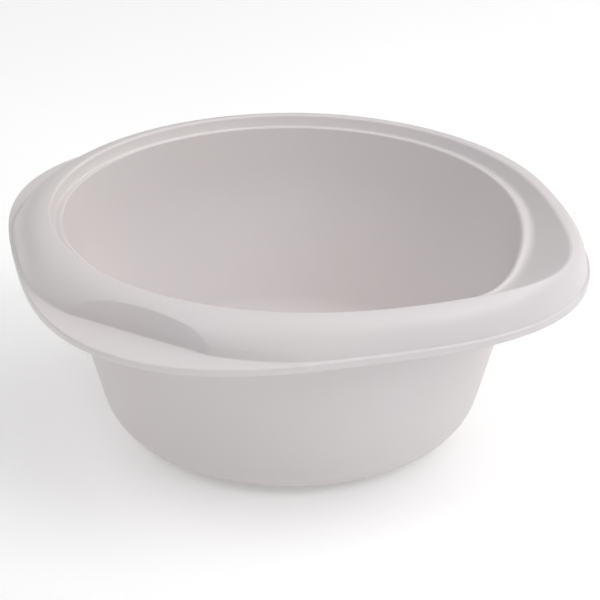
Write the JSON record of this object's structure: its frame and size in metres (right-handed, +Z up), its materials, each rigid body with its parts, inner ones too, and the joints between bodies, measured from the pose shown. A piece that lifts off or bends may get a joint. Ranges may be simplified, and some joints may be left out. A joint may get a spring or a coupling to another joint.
{
  "type": "bedpan",
  "caption": "Round one-piece plastic bedpan: tapered bowl, raised hollow rim with a pouring lip, flat finger grips and a turned-down flange.",
  "frame": {"origin": "centre of the underside of the base, under the bowl's axis, on the surface that the pan stands on", "axes": "+X towards the pouring lip, +Y towards the left finger grip, +Z up along the bowl's axis"},
  "size_m": [0.3644, 0.3698, 0.1388],
  "materials": {
    "pan_plastic": "satin moulded polypropylene, warm light grey"
  },
  "bodies": {
    "root": {"base_disc": "pan_plastic", "base_corner": "pan_plastic", "lower_wall": "pan_plastic", "bowl_wall": "pan_plastic", "mouth_bead": "pan_plastic", "crown_inner_face": "pan_plastic", "crown_crest": "pan_plastic", "front_crown_wall": "pan_plastic", "rear_crown_wall": "pan_plastic", "left_finger_wall": "pan_plastic", "right_finger_wall": "pan_plastic", "flange_ledge": "pan_plastic", "flange_skirt": "pan_plastic"}
  },
  "joints": []
}
